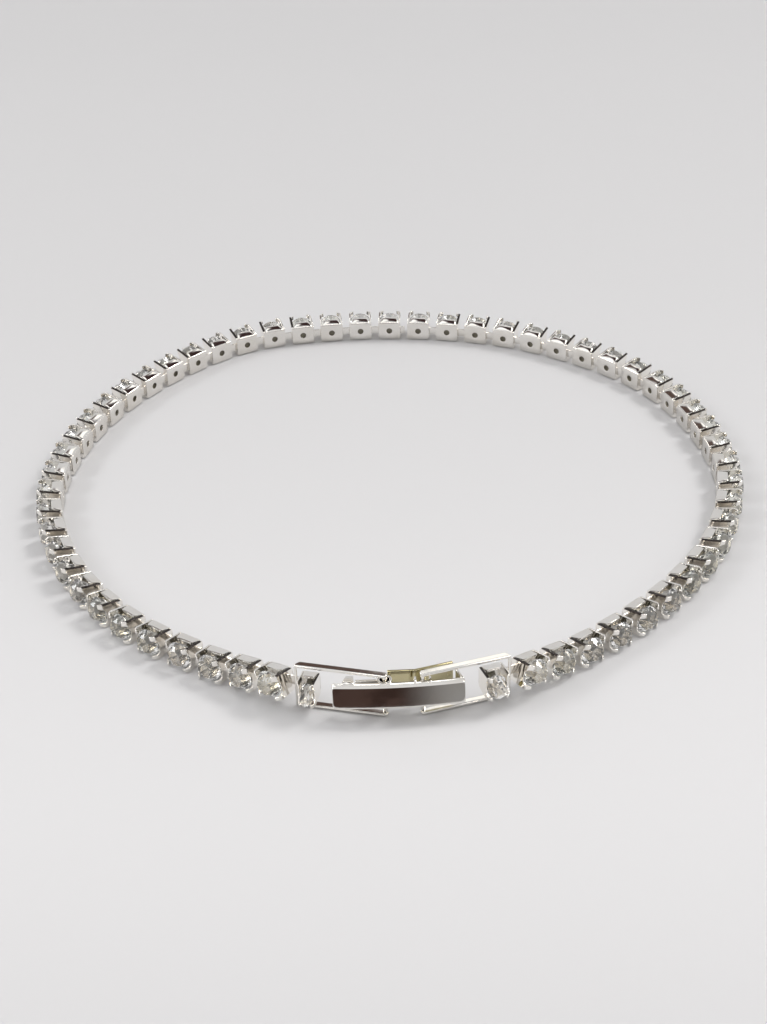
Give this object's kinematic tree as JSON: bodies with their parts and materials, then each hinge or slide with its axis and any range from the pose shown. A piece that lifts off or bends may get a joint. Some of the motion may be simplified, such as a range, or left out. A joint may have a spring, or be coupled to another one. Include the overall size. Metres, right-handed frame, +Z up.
{
  "type": "tennis bracelet",
  "caption": "Closed bracelet of round stones in open prong cups joined by short strips, with a fold-over clasp of two open frames and a swinging lever.",
  "frame": {"origin": "on the table, under the middle of the bracelet's bounding box", "axes": "+X along the clasp from its hinge end to its hook end, +Y from the clasp to the far side of the loop, +Z up from the table, along the loop's own axis"},
  "size_m": [0.0634, 0.0636, 0.004],
  "materials": {
    "stone_row": "silver-plated stamped cups, satin inside and bright on the walls, holding clear cut glass stones",
    "clasp_metal": "mirror-polished silver plate"
  },
  "bodies": {
    "bracelet": {"stone_row_left": "stone_row", "stone_row_right": "stone_row", "left_frame": "clasp_metal", "right_frame": "clasp_metal"},
    "lever": {"clasp_lever": "clasp_metal"}
  },
  "joints": [
    {"name": "lever_hinge", "type": "hinge", "parent": "bracelet", "child": "lever", "pos_m": [-0.00092, -0.03057, 0.00199], "axis": [0, 0, -1], "range_deg": [0, 90]}
  ]
}
